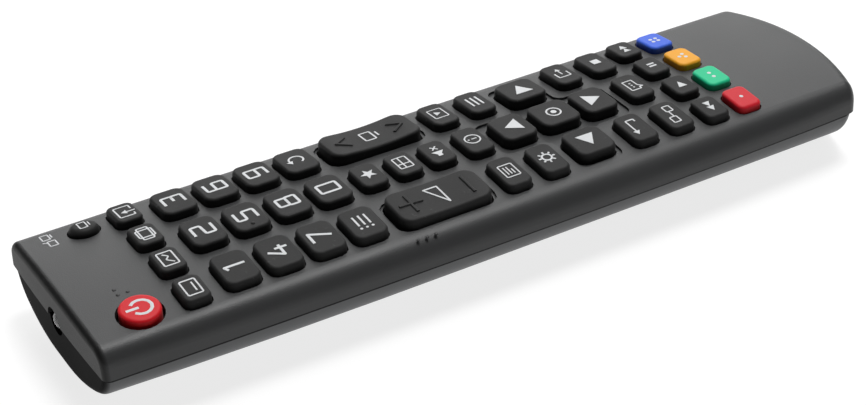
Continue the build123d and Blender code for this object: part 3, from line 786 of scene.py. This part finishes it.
# %% Digits
W, H = 1.48, 2.02
DIGIT_PEN = 0.56
CRISP_CORNER, ROUND_CORNER = 0.2, 0.7
digits = {
    "0": [box_line(2 * W, 2 * H)],
    "1": [open_line((-0.75, H - 0.5), (0.25, H), (0.25, -H))],
    "2": [open_line((-W, H), (W, H), (W, 0.1), (-W, -0.1), (-W, -H), (W, -H))],
    "3": [
        open_line((-W, H), (W, H), (W, 0), (-0.5, 0)),
        open_line((-0.5, 0), (W, 0), (W, -H), (-W, -H)),
    ],
    "4": [open_line((0.2, H), (-W, -0.7), (W + 0.1, -0.7)), open_line((0.75, 0.4), (0.75, -H))],
    "5": [open_line((W, H), (-W + 0.1, H), (-W + 0.1, 0.25), (W, 0.25), (W, -H), (-W, -H))],
    "6": [open_line((W - 0.1, H), (-W, H), (-W, -H), (W, -H), (W, 0.2), (-W + 0.1, 0.2))],
    "7": [open_line((-W, H), (W, H), (-0.45, -H))],
    "8": [box_line(2 * W - 0.3, H, (0, H / 2)), box_line(2 * W, H, (0, -H / 2))],
    "9": [open_line((-W + 0.1, -H), (W, -H), (W, H), (-W, H), (-W, -0.2), (W - 0.1, -0.2))],
}
for digit, lines in digits.items():
    node = "key_" + digit
    reach = CRISP_CORNER if digit in "147" else ROUND_CORNER
    sign("digit_" + digit, node, lines, pen=DIGIT_PEN, at=keys[node][:2], reach=reach)
print("digits", len(digits))

# %% [markdown]
# The other signs are plain pictograms of what a key does, drawn by the same pen. They use
# only lines, rings, dots and filled outlines. The keys round the digits come first: boxes
# for the picture and its source, lists, a star and a loudspeaker.

# %% Pictograms round the digits
STAR_RADII = (1.7, 0.72)


def draw_signs(signs):
    """Lay each pictogram on its own key."""
    for name, parts in signs.items():
        node = "key_" + name
        sign("sign_" + name, node, at=keys[node][:2], **parts)
    print("pictograms", len(signs))


picture_wave = open_line((-1.5, -0.8), (-0.3, 0.4), (0.6, -0.4), (1.5, 0.5))
open_box = open_line((0.6, -1.5), (2.0, -1.5), (2.0, 1.5), (-2.0, 1.5), (-2.0, -1.5), (-1.2, -1.5))
list_heights = (1.2, 0, -1.2)
star = [
    (STAR_RADII[n % 2] * math.sin(math.pi * n / 5), STAR_RADII[n % 2] * math.cos(math.pi * n / 5))
    for n in range(10)
]
window_bars = [open_line((-2, 0.2), (2, 0.2)), open_line((-0.5, 1.4), (-0.5, -1.4))]
silence = [open_line((0.5, 0.6), (1.7, -0.6)), open_line((0.5, -0.6), (1.7, 0.6))]
loudspeaker = [(-1.9, -0.5), (-1.2, -0.5), (-0.2, -1.3), (-0.2, 1.3), (-1.2, 0.5), (-1.9, 0.5)]
draw_signs({
    "captions": dict(
        lines=[box_line(4.2, 2.9), open_line((-1.3, -0.55), (1.3, -0.55))], pen=0.32
    ),
    "picture_mode": dict(lines=[box_line(4.2, 2.9), picture_wave], pen=0.32),
    "aspect": dict(lines=[box_line(4.2, 2.1), box_line(2.6, 3.1)], pen=0.32),
    "inputs": dict(
        lines=[open_box, open_line((-0.3, -2.0), (-0.3, -0.3))],
        shapes=[wedge(1.5, 1.1, 0, (-0.3, 0.2))], pen=0.32,
    ),
    "channel_list": dict(
        lines=[open_line((-1.1, h), (1.9, h)) for h in list_heights],
        dots=[(-1.9, h, 0.28) for h in list_heights],
    ),
    "last_channel": dict(
        lines=[round_line(1.45, (0, 0), -150, 110)], shapes=[wedge(1.4, 1.2, 100, (-0.85, 1.4))]
    ),
    "favourites": dict(shapes=[star]),
    "programmes": dict(lines=[box_line(4.0, 2.8), *window_bars], pen=0.3),
    "mute": dict(lines=silence, shapes=[loudspeaker], pen=0.3),
})

# %% [markdown]
# The middle of the keypad leads through menus: pages of text, a gear, arrows round a
# confirming ring, ways back and out, two linked boxes and a speech bubble.

# %% Pictograms of the menus
text_lines = [open_line((-1.2, h), (end, h)) for h, end in ((0.7, 1.2), (0, 1.2), (-0.7, 0.3))]
gear_teeth = [
    open_line((math.cos(a) * 1.25, math.sin(a) * 1.25), (math.cos(a) * 1.8, math.sin(a) * 1.8))
    for a in [math.pi * n / 4 for n in range(8)]
]
way_back = open_line((1.6, -0.9), (2.4, -0.9), (2.4, 0.9), (-1.6, 0.9))
doorway = open_line((0.2, 1.4), (-1.8, 1.4), (-1.8, -1.4), (0.2, -1.4))
linked_boxes = [
    box_line(1.9, 1.6, (-1.9, 0.4)), box_line(1.9, 1.6, (1.9, -0.4)),
    open_line((-0.9, 0), (0.9, 0)),
]
bubble = open_line(
    (-0.4, -0.9), (1.9, -0.9), (1.9, 1.3), (-1.9, 1.3), (-1.9, -0.9), (-1.2, -0.9),
    (-1.2, -1.7), (-0.4, -0.9),
)
draw_signs({
    "teletext": dict(lines=[box_line(3.9, 3.0)] + text_lines, pen=0.28),
    "information": dict(
        lines=[round_line(1.6), open_line((0, 0.25), (0, -0.9))], dots=[(0, 0.85, 0.22)], pen=0.32
    ),
    "teletext_menu": dict(
        lines=[box_line(3.9, 3.0)], shapes=[wedge(1.6, 1.2, 180, (0, 0))], pen=0.28
    ),
    "settings": dict(lines=[round_line(1.0), *gear_teeth], pen=0.4),
    "menu": dict(lines=[open_line((-1.9, h), (1.9, h)) for h in (1.1, 0, -1.1)], pen=0.42),
    "up": dict(shapes=[wedge(4.3, 3.4)]),
    "down": dict(shapes=[wedge(4.3, 3.4, 180)]),
    "left": dict(shapes=[wedge(4.0, 3.6, 90)]),
    "right": dict(shapes=[wedge(4.0, 3.6, -90)]),
    "ok": dict(lines=[round_line(1.5)], dots=[(0, 0, 0.62)], pen=0.36),
    "back": dict(lines=[way_back], shapes=[wedge(1.5, 1.2, 90, (-2.0, 0.9))], pen=0.34),
    "exit": dict(
        lines=[doorway, open_line((-0.6, 0), (1.3, 0))], shapes=[wedge(1.3, 1.0, -90, (1.7, 0))],
        pen=0.32,
    ),
    "devices": dict(lines=linked_boxes, pen=0.3),
    "narration": dict(
        lines=[bubble], dots=[(d, 0.2, 0.22) for d in (-0.8, 0, 0.8)], pen=0.3, reach=0.2
    ),
})

# %% [markdown]
# The rows near the tail run a recording and the four coloured choices. Their signs are the
# shapes that every player uses, and one to four dots that can be counted by eye. The power
# key and the source key at the other end close the list.

# %% Pictograms of the player and the colours
COLOUR_DOT = 0.42
pause_bars = [open_line((side, 0.85), (side, -0.85)) for side in (-0.5, 0.5)]
power_ring = round_line(1.95, (0, -0.3), 125, 415, 11)
draw_signs({
    "stop": dict(shapes=[box_line(1.9, 1.8)[0]]),
    "rewind": dict(shapes=[wedge(1.7, 1.6, 90, (-0.85, 0)), wedge(1.7, 1.6, 90, (0.75, 0))]),
    "play": dict(shapes=[wedge(2.0, 2.1, -90)]),
    "pause": dict(lines=pause_bars, pen=0.55),
    "forward": dict(shapes=[wedge(1.7, 1.6, -90, (0.85, 0)), wedge(1.7, 1.6, -90, (-0.75, 0))]),
    "red": dict(dots=[(0, 0, COLOUR_DOT)]),
    "green": dict(dots=[(x, 0, COLOUR_DOT) for x in (-0.8, 0.8)]),
    "yellow": dict(dots=[(x, y, COLOUR_DOT) for x, y in ((0, 0.75), (-0.72, -0.4), (0.72, -0.4))]),
    "blue": dict(dots=[(u * 0.6, v * 0.62, COLOUR_DOT) for u in (-1, 1) for v in (-1, 1)]),
    "power": dict(lines=[power_ring, open_line((0, 0.2), (0, 2.6))], pen=0.62),
    "source": dict(
        lines=[box_line(2.2, 1.5, (0, 0.2)), open_line((-0.7, -1.1), (0.7, -1.1))],
        pen=0.26, reach=0.3,
    ),
})

# %% [markdown]
# The two rockers are found by touch, so their signs are raised rubber: a plus and a
# minus for the volume and two chevrons for the channel. The volume key also has a
# printed wedge that grows to the right, as the sound does. The middle digit has a nib.

# %% Signs on the rockers
RAISED = 0.2
RAISED_PEN = 0.75
PRINTED_PEN = 0.36
raised = dict(material=key_black, rise=RAISED, slot="key_black")
volume_place, channel_place = keys["rocker_volume"][:2], keys["rocker_channel"][:2]
raised_signs = {
    "raised_plus": ("rocker_volume", [
        open_line((-2.7, 5.9), (2.7, 5.9)), open_line((0, 8.4), (0, 3.4)),
    ]),
    "raised_minus": ("rocker_volume", [open_line((-2.7, -6.5), (2.7, -6.5))]),
    "raised_chevron_up": ("rocker_channel", [open_line((-1.9, 4.7), (0, 7.4), (1.9, 4.7))]),
    "raised_chevron_down": ("rocker_channel", [open_line((-1.9, -4.7), (0, -7.4), (1.9, -4.7))]),
}
for name, (node, lines) in raised_signs.items():
    sign(name, node, lines, pen=RAISED_PEN, at=keys[node][:2], reach=0.15, **raised)
volume_line = [([(-2.7, -1.1), (2.6, -1.1), (2.6, 1.8)], True)]
sign("sign_volume", "rocker_volume", volume_line, pen=PRINTED_PEN, at=volume_place, reach=0.15)
channel_lines = [box_line(3.4, 2.3, (0, 0.4)), open_line((-0.9, -1.7), (0.9, -1.7))]
sign("sign_channel", "rocker_channel", channel_lines, pen=PRINTED_PEN, at=channel_place)
sign("nib_5", "key_5", dots=[(-3.1, 0, 0.42)], at=keys["key_5"][:2], **raised)
print("raised signs", len(raised_signs) + 1)

# %% [markdown]
# Small raised dots on the case help the thumb find the power key and the volume key in
# the dark. They are part of the moulding and read as small dark points, so the darkest
# plastic is painted on them as painted shade. A plain printed sign near the source key
# shows two screens.

# %% Dots and print on the case
DOT_RADIUS = 0.36
DOT_RISE = 0.14
touch_dots = {
    "dots_power": [(-8.0, 76.3), (-8.0, 74.4), (-6.3, 76.3)],
    "dots_volume": [(-20.9, 18.6), (-20.9, 20.5), (-20.9, 22.4)],
}
for name, places in touch_dots.items():
    dots = [(x, y, DOT_RADIUS) for x, y in places]
    # The dark plastic on these moulded dots is painted shade.
    sign(name, "case", dots=dots, rise=DOT_RISE, material=chip_black, slot="lower_case")
screens = [
    box_line(2.0, 1.5, (17.4, 80.0)), open_line((16.7, 78.8), (18.1, 78.8)),
    box_line(2.0, 1.5, (14.6, 79.5)), open_line((15.1, 80.3), (15.6, 81.1)),
]
sign("sign_case", "case", screens, pen=0.3, rise=CASE_INK_RISE, reach=0.25)
print("groups of touch dots", len(touch_dots))

# %% [markdown]
# The emitter is turned on a lathe: the clear body with its domed tip and the small metal
# cup that holds the die. Two square leads run back from it and bend up to the board.

# %% Infra-red emitter
PARTING = 10.2
LED_BACK, LED_TIP = 77.0, 85.95
LED_RADIUS, LED_RIM = 2.3, 2.9
LED_RIM_DEPTH = 1
DOME_HEIGHT = 2.2
DOME_STEPS = 8
CUP_STEPS = 20
CUP_PROFILE = [
    (0, 80.6), (0.35, 80.6), (0.4, 81.2), (0.95, 81.9), (0.95, 82.3), (0.8, 82.3), (0.45, 81.8),
    (0, 81.8),
]
LEAD_HALF = 0.25
LEAD_END, LEAD_BEND, LEAD_TOP = 73.0, 73.5, 12.3
LEAD_STARTS = {-1.27: 80.9, 1.27: 79.6}


def turned_on_lathe(bm, profile, height=PARTING, steps=40):
    """Spin a profile of (radius, y) points round a line along Y."""
    verts = [bm.verts.new((radius, y, height)) for radius, y in profile]
    edges = [bm.edges.new(pair) for pair in zip(verts, verts[1:])]
    bmesh.ops.spin(
        bm, geom=verts + edges, cent=(0, 0, height), axis=(0, 1, 0), dvec=(0, 0, 0),
        angle=math.tau, steps=steps, use_merge=True, use_normal_flip=False, use_duplicate=False,
    )


dome_start = LED_TIP - DOME_HEIGHT
quarters = [math.pi / 2 * n / DOME_STEPS for n in range(DOME_STEPS + 1)]
dome = [(LED_RADIUS * math.cos(a), dome_start + DOME_HEIGHT * math.sin(a)) for a in quarters]
dome[-1] = (0, LED_TIP)
rim_end = LED_BACK + LED_RIM_DEPTH
body_profile = [(0, LED_BACK), (LED_RIM, LED_BACK), (LED_RIM, rim_end), (LED_RADIUS, rim_end)]
bm = bmesh.new()
turned_on_lathe(bm, body_profile + dome)
finished_piece("emitter_lens", bm, clear_resin, "case", "infrared_led")
bm = bmesh.new()
turned_on_lathe(bm, CUP_PROFILE, steps=CUP_STEPS)
for x, lead_start in LEAD_STARTS.items():
    low = (x - LEAD_HALF, LEAD_END, PARTING - LEAD_HALF)
    block(bm, low, (x + LEAD_HALF, lead_start, PARTING + LEAD_HALF))
    block(bm, low, (x + LEAD_HALF, LEAD_BEND, LEAD_TOP))
finished_piece("emitter_leads", bm, emitter_metal, "case")
print("emitter from", LED_BACK, "to", LED_TIP, "mm")

# %% [markdown]
# The part stands on a floor that glows a little, so that its shadow stays faint. A large
# panel behind the far side lights the face at a shallow angle, a small one overhead fills
# the key tops, and the world is a weak even grey.

# %% Floor and light
FLOOR_GLOW = 0.78
SKY_STRENGTH = 0.09
floor_mesh = bpy.data.meshes.new("floor")
bm = bmesh.new()
bmesh.ops.create_grid(bm, x_segments=1, y_segments=1, size=3)
bm.to_mesh(floor_mesh)
bm.free()
floor = bpy.data.objects.new("floor", floor_mesh)
bpy.context.collection.objects.link(floor)
paper = Finish("floor_pale", Roughness=0.9)
paper.give("Base Color", paper.blend(paper.noise(0.05), grey(0.26), grey(0.28)))
paper.give("Emission Color", grey(1.0))
paper.give("Emission Strength", FLOOR_GLOW)
floor_mesh.materials.append(paper.material)

world = bpy.data.worlds.new("world")
bpy.context.scene.world = world
world.use_nodes = True
sky = world.node_tree.nodes["Background"]
sky.inputs["Color"].default_value = (1, 1, 1, 1)
sky.inputs["Strength"].default_value = SKY_STRENGTH


def soft_light(name, place, size, power):
    """A square soft box aimed at the middle of the part."""
    lamp = bpy.data.lights.new(name, "AREA")
    lamp.size, lamp.energy = size, power
    holder = bpy.data.objects.new(name, lamp)
    holder.location = place
    holder.rotation_euler = (-Vector(place)).to_track_quat("-Z", "Y").to_euler()
    bpy.context.collection.objects.link(holder)


soft_light("behind", (1.46, -0.84, 1.08), 2.0, 24.5)
soft_light("overhead", (0.3, -0.5, 2.0), 0.8, 33.0)
print("soft lights", len(bpy.data.lights))
